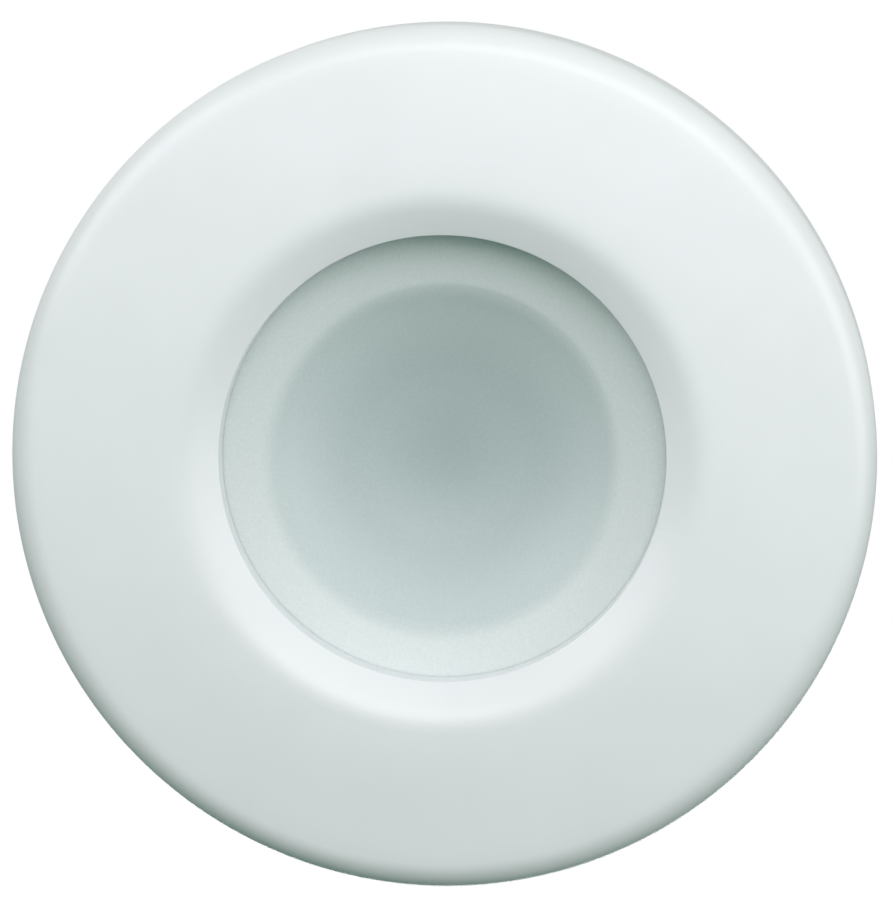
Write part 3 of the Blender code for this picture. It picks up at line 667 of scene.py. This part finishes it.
def screws(nodes, shank, head_height, pitch, way=1):
    """Pan-head screws with a cross recess and a rolled thread. A way of -1 points their tips towards -Y."""
    head, low, high = span(nodes[0])
    length = high - low - head_height
    root, start, end = shank * 0.8, 0.4 * MM, length - 0.5 * MM
    outline = [
        (0, -head_height),
        (head * 0.95, -head_height, head_height * 0.55),
        (head, 0, 0.12 * MM),
        (root, 0),
        (root, start),
        (root, end),
        (root * 0.6, length),
        (0, length),
    ]
    obj = turned(nodes[0], outline, MATERIALS[SLOT_OF[nodes[0]]], SCREW_SIDES)
    arm, half = head * 0.62, head * 0.13  # of the cross
    signs = ((1, 1), (-1, 1), (-1, -1), (1, -1))
    cross = []
    for n, (sx, sz) in enumerate(signs):
        near, far = ((arm * sx, half * sz), (half * sx, arm * sz))
        cross += [near, (half * sx, half * sz), far] if n % 2 == 0 else [far, (half * sx, half * sz), near]
    recess = prism("recess", cross, -head_height - 0.1 * MM, -head_height * 0.45, None)
    combined(obj, [recess], "DIFFERENCE")
    threaded(obj, root, shank, start, end, pitch, 0, SCREW_SIDES)
    seat = low + head_height if way > 0 else high - head_height
    if way < 0:
        obj.data.transform(Matrix.Rotation(math.pi, 4, "X"))
    obj.data.transform(Matrix.Translation((0, seat, 0)))
    copies(obj, nodes)


def make_lens_clamp():
    """The ring that six screws pull down on the lens, with the tabs that the face ring locks behind."""
    _, front, rear = span("lens_clamp_ring")
    back = span("light_body")[1] - GAP
    lip_back = span("lens")[1] - GAP
    pocket, lip = span("lens")[0] + 0.5 * MM, bore("lens_clamp_ring")
    grey = MATERIALS["body_plastic"]
    outline = [
        (lip, front, SOFT),
        (CLAMP_RADIUS, front, SOFT),
        (CLAMP_RADIUS, back, SOFT),
        (pocket, back, CRISP),
        (pocket, lip_back, CRISP),
        (lip, lip_back, CRISP),
    ]
    ring = turned("lens_clamp", outline, grey, SIDES)
    overlap = 0.6 * MM
    stop, stop_width, before, after = LUG_HALF_ANGLE + 1, 3, 4, 2  # degrees
    tabs = []
    for angle in BAYONET_ANGLES:
        tab = sector(CLAMP_RADIUS - overlap, TAB_RADIUS, angle - stop - before, angle + stop + after)
        tabs.append(prism("tab", tab, front + 0.2 * MM, TAB_BACK, grey))
        rib = sector(HEAD_RADIUS + GAP, TAB_RADIUS - 0.1 * MM, angle - stop - stop_width, angle - stop)
        tabs.append(prism("stop", rib, TAB_BACK - overlap, rear, grey))
    combined(ring, tabs, "UNION")
    screw_nodes = numbered("clamp_screw", 6)
    places = [middle(node) for node in screw_nodes]
    recess, recess_floor, hole = 3.1 * MM, front + 1.4 * MM, 1.9 * MM
    drilled(ring, recess, front - OVERRUN, recess_floor, places)
    drilled(ring, hole, recess_floor - OVERRUN, back + OVERRUN, places)
    stand_in(ring, "lens_clamp_ring")
    screws(screw_nodes, shank=1.4 * MM, head_height=1.2 * MM, pitch=0.6 * MM)


# ---- the body and the wall clamp


def make_light_body():
    """The moulded body: a head with the lens pocket, a wall flange and the threaded barrel."""
    flange_radius, head_front, tail_end = span("light_body")
    flange_back = span("wall_gasket")[1] - GAP
    flange_front = flange_back - FLANGE_DEPTH
    pocket, pocket_floor = span("lens")[0] + GAP, span("lens_gasket")[2] + GAP
    tail_radius = span("back_cap")[0]
    outline = [
        (THREAD_ROOT, THREAD_START),
        (THREAD_ROOT, THREAD_END),
        (tail_radius, THREAD_END + 1.8 * MM, 0.8 * MM),
        (tail_radius, tail_end, 0.4 * MM),
        (REAR_BORE, tail_end, 0.4 * MM),
        (REAR_BORE, BORE_STEP, SOFT),
        (FRONT_BORE, BORE_STEP, SOFT),
        (FRONT_BORE, pocket_floor, SOFT),
        (pocket, pocket_floor, SOFT),
        (pocket, head_front, SOFT),
        (HEAD_RADIUS, head_front, 0.5 * MM),
        (HEAD_RADIUS, flange_front, 0.6 * MM),
        (flange_radius, flange_front, 0.7 * MM),
        (flange_radius, flange_back, SOFT),
        (RELIEF, flange_back, 0.4 * MM),
        (RELIEF, THREAD_START - 0.8 * MM, CRISP),
    ]
    body = turned("light_body_moulding", outline, MATERIALS["body_plastic"], SIDES)
    boss_radius, boss_front = 3.0 * MM, 44.0 * MM
    boss_back = span("back_cap")[1] - GAP
    in_wall = REAR_BORE + 1.2 * MM
    section = [(CAP_SCREW_RADIUS + x, z) for x, z in arc(boss_radius, 90, 270, 24)]
    section += [(in_wall, -boss_radius), (in_wall, boss_radius)]
    bosses = []
    for angle in FIXING_ANGLES:
        boss = prism("boss", section, boss_front, boss_back, None)
        boss.data.transform(Matrix.Rotation(-math.radians(angle), 4, "Y"))
        bosses.append(boss)
    combined(body, bosses, "UNION")
    clamp_places = [middle(node) for node in numbered("clamp_screw", 6)]
    clamp_hole, clamp_floor = 1.75 * MM, flange_back - 1.2 * MM
    cap_hole, cap_floor = 1.4 * MM, boss_front + 1.5 * MM
    drilled(body, clamp_hole, head_front - OVERRUN, clamp_floor, clamp_places)
    drilled(body, cap_hole, cap_floor, boss_back + OVERRUN, CAP_PLACES)
    threaded(body, THREAD_ROOT, THREAD_CREST, THREAD_START, THREAD_END, BARREL_PITCH, THREAD_START, SIDES)
    stand_in(body, "light_body")


def make_locknut():
    """A round nut with a collar and eight lugs to turn it by."""
    collar_radius, front, back = span("locknut")
    ring_radius, lug_radius, lugs = 30.2 * MM, 33.2 * MM, 8
    lug_foot, flank = 11, 4  # degrees: half of a lug at its foot, and each of its sloping sides
    inner, lead_in, soft = THREAD_CREST + THREAD_CLEARANCE, 0.8 * MM, 0.5 * MM
    step = front + 2.4 * MM

    def lug_outline(inset):
        def radius(angle):
            offset = abs((angle * lugs / math.tau + 0.5) % 1 - 0.5) * 360 / lugs
            rise = min(1, max(0, (lug_foot - offset) / flank))
            return ring_radius + (lug_radius - ring_radius) * rise * rise * (3 - 2 * rise) - inset

        return radius

    rows = [(inner, back - lead_in), (inner + lead_in, back)]
    rows += [(lug_outline(soft * (1 - math.sin(a))), back - soft * (1 - math.cos(a))) for a in quarter(5)]
    rows += [(lug_outline(-soft * (1 - math.cos(a))), step + soft * (1 - math.sin(a))) for a in quarter(4)]
    rows += [(collar_radius - soft * (1 - math.sin(a)), step - soft * (1 - math.cos(a))) for a in quarter(4)]
    rows += [(collar_radius - soft * (1 - math.cos(a)), front + soft * (1 - math.sin(a))) for a in quarter(4)]
    rows += [(inner + lead_in, front), (inner, front + lead_in)]
    nut = lathed("locknut_moulding", rows, MATERIALS["body_plastic"], NUT_SIDES)
    crest = inner - (THREAD_CREST - THREAD_ROOT)
    origin = THREAD_START + BARREL_PITCH / 2
    threaded(nut, inner, crest, front + lead_in, back - lead_in, BARREL_PITCH, origin, NUT_SIDES)
    stand_in(nut, "locknut")


# ---- the back cap and the cable gland


def make_back_cap():
    """The cap that closes the barrel, with an O-ring in its spigot and three screws."""
    radius, spigot_front, back = span("back_cap")
    front = span("light_body")[2] + GAP
    spigot, groove, hole = 18.6 * MM, 17.2 * MM, bore("back_cap")
    groove_front, groove_back = 53.5 * MM, 55.3 * MM
    outline = [
        (hole, spigot_front, SOFT),
        (spigot, spigot_front, 0.4 * MM),
        (spigot, groove_front, 0.1 * MM),
        (groove, groove_front, CRISP),
        (groove, groove_back, CRISP),
        (spigot, groove_back, 0.1 * MM),
        (spigot, front, CRISP),
        (radius, front, SOFT),
        (radius, back, 0.9 * MM),
        (hole, back, SOFT),
    ]
    cap = turned("back_cap_moulding", outline, MATERIALS["body_plastic"])
    stand_in(drilled(cap, SCREW_HOLE, spigot_front - OVERRUN, back + OVERRUN, CAP_PLACES), "back_cap")
    section = 0.72 * MM
    centre = Vector(((groove + REAR_BORE) / 2, (groove_front + groove_back) / 2))
    circle = [tuple(centre + Vector(point)) for point in arc(section, 0, 345, 23)]
    stand_in(turned("cap_o_ring_rubber", circle, MATERIALS["black_rubber"]), "cap_o_ring")
    screws(numbered("cap_screw", 3), shank=1.1 * MM, head_height=1.4 * MM, pitch=0.5 * MM, way=-1)


def make_gland():
    """The cable inlet: a hexagon body, a rubber seal, a nylon thrust washer and a domed nut."""
    black = MATERIALS["black_nylon"]
    _, front, end = span("gland_body")
    hex_front, hex_back = 59.8 * MM, 63.8 * MM
    neck, passage, seat, seat_front = 7.8 * MM, 5.2 * MM, 6.6 * MM, 65.5 * MM
    flare, bevel = 0.4 * MM, 0.5 * MM
    thread_start, thread_end = hex_back + 1.0 * MM, end - 0.8 * MM
    rows = [
        (GLAND_ROOT, thread_start),
        (GLAND_ROOT, thread_end),
        (GLAND_ROOT - SOFT, end),
        (seat + CRISP, end),
        (seat, end - CRISP),
        (seat, seat_front),
        (passage, seat_front),
        (passage, front + flare),
        (passage + flare, front),
        (neck - bevel, front),
        (neck, front + bevel),
        (neck, hex_front),
        *chamfered_hexagon(11.5 * MM, hex_front, hex_back),
        (GLAND_ROOT, hex_back),
    ]
    body = lathed("gland_body_moulding", rows, black, SMALL_SIDES)
    threaded(body, GLAND_ROOT, GLAND_CREST, thread_start, thread_end, GLAND_PITCH, thread_start, SMALL_SIDES)
    stand_in(body, "gland_body")

    collar, seal_front, seal_end = span("gland_seal")
    cable, sleeve = bore("gland_seal"), seat - GAP
    seal = [
        (cable, seal_front, SOFT),
        (sleeve, seal_front, 0.4 * MM),
        (sleeve, end + GAP, 0.1 * MM),
        (collar, end + GAP, CRISP),
        (collar, seal_end - 0.8 * MM, SOFT),
        (collar - 1.6 * MM, seal_end, SOFT),
        (cable, seal_end, SOFT),
    ]
    stand_in(turned("gland_seal_rubber", seal, MATERIALS["black_rubber"], SMALL_SIDES), "gland_seal")
    flat_ring("gland_thrust_washer", CRISP)

    _, front, back = span("gland_nut")
    shoulder, dome, hole = 75.5 * MM, 10.4 * MM, bore("gland_thrust_washer")
    cavity, cavity_back = GLAND_CREST + THREAD_CLEARANCE, span("gland_thrust_washer")[2] + GAP
    nose = [(dome, shoulder), (9.6 * MM, 78.5 * MM, 4 * MM), (7.0 * MM, back, 0.8 * MM), (hole, back)]
    nut_start, nut_end = front + bevel, thread_end - bevel
    hex_nut_front, hex_nut_back = front + flare, shoulder - 1 * MM
    rows = [
        (cavity, nut_start),
        (cavity, nut_end),
        (cavity, cavity_back),
        (hole, cavity_back),
        (hole, back - SOFT),
        (hole + SOFT, back),
        *rounded(nose, closed=False)[::-1][1:],
        *chamfered_hexagon(12.0 * MM, hex_nut_front, hex_nut_back)[::-1],
        (dome - flare, front),
        (cavity + bevel, front),
    ]
    nut = lathed("gland_nut_moulding", rows, black, SMALL_SIDES)
    crest = cavity - (GLAND_CREST - GLAND_ROOT)
    origin = thread_start + GLAND_PITCH / 2
    threaded(nut, cavity, crest, nut_start, nut_end, GLAND_PITCH, origin, SMALL_SIDES)
    stand_in(nut, "gland_nut")


# ---- the light engine


def make_reflector():
    """A white cup from the lens's gasket down to the LED board, with a flange at its mouth."""
    flange, front, back = span("reflector")
    mouth, base, wall, flange_back = 17.9 * MM, bore("reflector"), 1.2 * MM, front + 1.0 * MM
    cup = [
        (mouth, front, 0.4 * MM),
        (flange, front, SOFT),
        (flange, flange_back, SOFT),
        (mouth + wall, flange_back, SOFT),
        (base + wall, back, CRISP),
        (base, back, CRISP),
    ]
    stand_in(turned("reflector_cup", cup, MATERIALS["reflector"]), "reflector")


def make_disc(node, screw_places, rounding, screw_hole, lead_hole):
    """A flat round piece with holes for three screws and two leads."""
    radius, front, back = span(node)
    outline = [(0, front), (radius, front, rounding), (radius, back, rounding), (0, back)]
    disc = turned(f"{node}_disc", outline, MATERIALS[SLOT_OF[node]])
    for hole, places in ((screw_hole, screw_places), (lead_hole, LEAD_PLACES)):
        drilled(disc, hole, front - OVERRUN, back + OVERRUN, places)
    stand_in(disc, node)


def make_leds():
    """Seven LEDs, each a square package with rounded corners and a low dome, all in the phosphor's colour."""
    nodes = numbered("led", 7)
    half, front, back = span(nodes[0])
    package_front, corner = back - 0.7 * MM, 0.35 * MM
    square = []
    for turn in range(4):
        for x, z in arc(corner, 90 * turn, 90 * turn + 90, 6):
            sx, sz = ((1, 1), (-1, 1), (-1, -1), (1, -1))[turn]
            square.append((x + sx * (half - corner), z + sz * (half - corner)))
    led = prism("led_package", square, package_front, back, MATERIALS["led"])
    dome, height = 1.3 * MM, package_front - front
    rows = [(dome * math.sin(a), package_front - height * math.cos(a)) for a in quarter(10)]
    dome_back = package_front + 0.2 * MM
    outline = [(0, front), *rows[1:], (dome, dome_back), (0, dome_back)]
    combined(led, [turned("dome", outline, None, SCREW_SIDES)], "UNION")
    copies(led, nodes)


def make_heat_sink():
    """A plate with nine fins behind it. The three wide fins take the screws and the driver's standoffs."""
    radius, front, back = span("heat_sink")
    plate_back = front + 3.0 * MM
    outline = [(0, front), (radius, front, SOFT), (radius, plate_back, SOFT), (0, plate_back)]
    sink = turned("heat_sink_plate", outline, MATERIALS["aluminium"])
    hub, tip, fins = 7.0 * MM, REAR_BORE - 0.8 * MM, 9
    wide, narrow, soft = 3.2 * MM, 0.9 * MM, 0.5 * MM  # half the fins' thickness, and their chamfers
    profile = []
    for n in range(fins):
        turn = Matrix.Rotation(math.radians(90 + 360 / fins * n), 2)
        half = wide if n % 3 == 0 else narrow
        root, end = (math.sqrt(r**2 - half**2) for r in (hub, tip))
        one_side = [(root, -half), (end - soft, -half), (end, soft - half)]
        corners = one_side + [(x, -z) for x, z in reversed(one_side)]
        profile += [tuple(turn @ Vector(corner)) for corner in corners]
    combined(sink, [prism("fins", profile, plate_back - 0.5 * MM, back, None)], "UNION")
    screw_hole, screw_depth, lead_hole = 1.4 * MM, 6.3 * MM, 1.3 * MM
    stud_hole, stud_depth = 1.5 * MM, 4.7 * MM
    drilled(sink, screw_hole, front - OVERRUN, front + screw_depth, FIXING_PLACES)
    drilled(sink, lead_hole, front - OVERRUN, plate_back + OVERRUN, LEAD_PLACES)
    drilled(sink, stud_hole, back - stud_depth, back + OVERRUN, STANDOFF_PLACES)
    stand_in(sink, "heat_sink")


# ---- the driver


def make_standoffs():
    """Hexagon brass standoffs: a stud into the heat sink, and a threaded hole for the board's screw."""
    nodes = numbered("standoff", 3)
    _, stud_front, back = span(nodes[0])
    front = span("heat_sink")[2] + GAP
    circumradius, stud, hole, depth = 2.7 * MM, 1.2 * MM, 1.5 * MM, 4.5 * MM
    rows = [
        (0, stud_front),
        (stud - SOFT, stud_front),
        (stud, stud_front + SOFT),
        (stud, front),
        *chamfered_hexagon(circumradius, front, back),
        (hole + SOFT, back),
        (hole, back - SOFT),
        (hole, back - depth),
        (0, back - depth),
    ]
    copies(lathed("standoff", rows, MATERIALS["brass"], SCREW_SIDES, closed=False), nodes)


def tube(name, points, radius, material, sides=10, closed=False):
    """A round wire along points, with flat ends unless it is closed."""
    path = bpy.data.curves.new(name, "CURVE")
    path.dimensions = "3D"
    path.bevel_depth = radius
    path.bevel_resolution = sides // 2 - 1
    path.use_fill_caps = not closed
    line = path.splines.new("POLY")
    line.points.add(len(points) - 1)
    for point, place in zip(line.points, points):
        point.co = (*place, 1)
    line.use_cyclic_u = closed
    guide = linked(name, path)
    graph = bpy.context.evaluated_depsgraph_get()
    shape = bmesh.new()
    shape.from_mesh(bpy.data.meshes.new_from_object(guide.evaluated_get(graph)))
    bpy.data.objects.remove(guide)
    return add_object(name, shape, material)


def make_inductor():
    """A ring core wound with one layer of enamelled wire."""
    outer, front, back = span("inductor")
    wire, turns, steps = 0.36 * MM, 22, 22
    section = (back - front) / 2
    centre_radius, middle_y = outer - section, (front + back) / 2
    core_section = section - 2 * wire
    circle = [(centre_radius + r, middle_y + y) for r, y in arc(core_section, 0, 352.5, 47)]
    core = turned("inductor_core", circle, MATERIALS["black_epoxy"], SMALL_SIDES)
    placed(core, "inductor")
    winding = []
    for n in range(turns * steps):
        round_ring, round_core = math.tau * n / (turns * steps), math.tau * n / steps
        radius = centre_radius + (section - wire) * math.cos(round_core)
        y = middle_y + (section - wire) * math.sin(round_core)
        winding.append((radius * math.cos(round_ring), y, radius * math.sin(round_ring)))
    placed(tube("inductor_winding", winding, wire, MATERIALS["copper"], closed=True), "inductor")


def make_capacitor(node):
    """A can in a plain sleeve, with a crimp near its foot and a dished top."""
    radius, front, back = span(node)
    crimp, dish = 1.6 * MM, 0.35 * MM
    outline = [
        (0, front),
        (radius - 0.2 * MM, front, CRISP),
        (radius, front + crimp * 0.5, 0.5 * MM),
        (radius - 0.45 * MM, front + crimp, 0.5 * MM),
        (radius, front + crimp * 1.5, 0.5 * MM),
        (radius, back, 0.6 * MM),
        (radius - 1.0 * MM, back, CRISP),
        (radius - 1.4 * MM, back - dish, CRISP),
        (0, back - dish),
    ]
    placed(turned(f"{node}_can", outline, MATERIALS["capacitor_sleeve"], SMALL_SIDES), node)


def make_lead(node, place):
    """One wire from the driver board to the LED board, bowed a little where it is free."""
    x, z = place
    low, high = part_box(node)
    free_start, free_end = span("driver_board")[1] - 1.3 * MM, BORE_STEP + 1.0 * MM
    radius, bend, steps = 0.6 * MM, 0.09, 60
    points = []
    for step in range(steps + 1):
        y = high.y + (low.y - high.y) * step / steps
        share = min(1.0, max(0.0, (free_start - y) / (free_start - free_end)))
        bow = 1 - bend * math.sin(math.pi * share) ** 2
        points.append((x * bow, y, z * bow))
    stand_in(tube(f"{node}_wire", points, radius, MATERIALS[SLOT_OF[node]], sides=16), node)


make_face_ring()
make_lens()
make_lens_clamp()
flat_ring("lens_gasket", SOFT)
make_light_body()
flat_ring("wall_gasket", 0.4 * MM)
flat_ring("rear_gasket", 0.5 * MM)
flat_ring("slip_washer", SOFT)
make_locknut()
make_back_cap()
make_gland()
make_reflector()
make_disc("led_board", FIXING_PLACES, rounding=0.15 * MM, screw_hole=SCREW_HOLE, lead_hole=1.1 * MM)
make_disc("thermal_pad", FIXING_PLACES, rounding=0.1 * MM, screw_hole=1.6 * MM, lead_hole=1.2 * MM)
make_disc("driver_board", STANDOFF_PLACES, rounding=0.15 * MM, screw_hole=SCREW_HOLE, lead_hole=1.0 * MM)
make_leds()
screws(numbered("board_screw", 3), shank=1.1 * MM, head_height=1.1 * MM, pitch=0.5 * MM)
make_heat_sink()
make_standoffs()
screws(numbered("driver_screw", 3), shank=1.1 * MM, head_height=1.3 * MM, pitch=0.5 * MM, way=-1)
make_inductor()
for capacitor in numbered("capacitor", 2):
    make_capacitor(capacitor)
softened("driver_chip", CRISP)
softened("rectifier", 0.25 * MM)
softened("terminal_block", SOFT)
for lead, place in zip(("led_lead_red", "led_lead_black"), LEAD_PLACES):
    make_lead(lead, place)


# ---- the studio


def bearing(azimuth, elevation):
    a, e = math.radians(azimuth), math.radians(elevation)
    return Vector((math.sin(a) * math.cos(e), -math.cos(a) * math.cos(e), math.sin(e)))


def aim(obj, place, towards):
    """Puts a camera or a light at a place and turns it towards a direction."""
    obj.location = place
    obj.rotation_mode = "QUATERNION"
    obj.rotation_quaternion = towards.to_track_quat("-Z", "Y")


def make_camera():
    away = bearing(VIEW_AZIMUTH, VIEW_ELEVATION)
    right = Vector((0, 0, 1)).cross(away).normalized()
    up = right.cross(-away)
    _, front, back = span("face_ring")
    target = Vector((0, (front + back) / 2, 0)) + right * VIEW_AIM[0] + up * VIEW_AIM[1]
    data = bpy.data.cameras.new("camera")
    data.sensor_width = 36
    data.lens = data.sensor_width * VIEW_DISTANCE / VIEW_HEIGHT
    data.clip_start, data.clip_end = 0.01, 10
    camera = linked("camera", data)
    aim(camera, target + away * VIEW_DISTANCE, -away)
    bpy.context.scene.camera = camera


def make_soft_light(name, azimuth, elevation, power, colour=(1, 1, 1)):
    """A round soft light aimed at the middle of the face."""
    data = bpy.data.lights.new(name, "AREA")
    data.shape = "DISK"
    data.size = LIGHT_SIZE
    data.energy = power
    data.color = colour
    away = bearing(azimuth, elevation)
    aim(linked(name, data), away * LIGHT_DISTANCE, -away)


def make_world():
    """White to the camera, as the backdrop was. To all else a soft light, brightest from behind and above."""
    world = bpy.data.worlds.new("studio")
    bpy.context.scene.world = world
    world.use_nodes = True
    nodes, links = world.node_tree.nodes, world.node_tree.links
    nodes.clear()
    direction = nodes.new("ShaderNodeSeparateXYZ")
    links.new(nodes.new("ShaderNodeTexCoord").outputs["Generated"], direction.inputs[0])

    def blend(axis, low, high, first, second):
        """Runs from the first colour to the second as the direction's part along an axis rises."""
        share = nodes.new("ShaderNodeMapRange")
        share.inputs["From Min"].default_value = low
        share.inputs["From Max"].default_value = high
        links.new(direction.outputs[axis], share.inputs["Value"])
        tone = nodes.new("ShaderNodeMix")
        tone.data_type = "RGBA"
        links.new(share.outputs[0], tone.inputs["Factor"])
        for socket, colour in ((tone.inputs[6], first), (tone.inputs[7], second)):
            if isinstance(colour, tuple):
                socket.default_value = (*colour, 1)
            else:
                links.new(colour, socket)
        return tone.outputs[2]

    above = blend("Y", 0.0, 0.6, AMBIENT_FRONT, AMBIENT_BACK)
    ambient, backdrop = nodes.new("ShaderNodeBackground"), nodes.new("ShaderNodeBackground")
    links.new(blend("Z", -0.3, 0.3, AMBIENT_BELOW, above), ambient.inputs["Color"])
    backdrop.inputs["Color"].default_value = (1, 1, 1, 1)
    mixed, output = nodes.new("ShaderNodeMixShader"), nodes.new("ShaderNodeOutputWorld")
    links.new(nodes.new("ShaderNodeLightPath").outputs["Is Camera Ray"], mixed.inputs[0])
    links.new(ambient.outputs[0], mixed.inputs[1])
    links.new(backdrop.outputs[0], mixed.inputs[2])
    links.new(mixed.outputs[0], output.inputs[0])


def make_floor():
    """A round pale floor, well below the light and out of the camera's frame."""
    shape = bmesh.new()
    bmesh.ops.create_circle(shape, cap_ends=True, segments=SIDES, radius=FLOOR_RADIUS)
    floor = add_object("floor", shape, moulded_plastic("floor", (0.86, 0.86, 0.86), roughness=0.7))
    floor.location = (0, 0, FLOOR_HEIGHT)


make_camera()
make_world()
make_floor()
for light, azimuth, elevation, power in (
    ("left", -60, 28, 0.42),
    ("front_left", -25, 28, 0.22),
    ("front", 10, 28, 0.56),
    ("right", 45, 28, 0.24),
    ("low_right", 60, 5, 0.39),
):
    make_soft_light(light, azimuth, elevation, power, LIGHT_COLOUR)
make_soft_light("low_back", 180, -20, 0.5)
bpy.context.scene.view_settings.view_transform = "Standard"
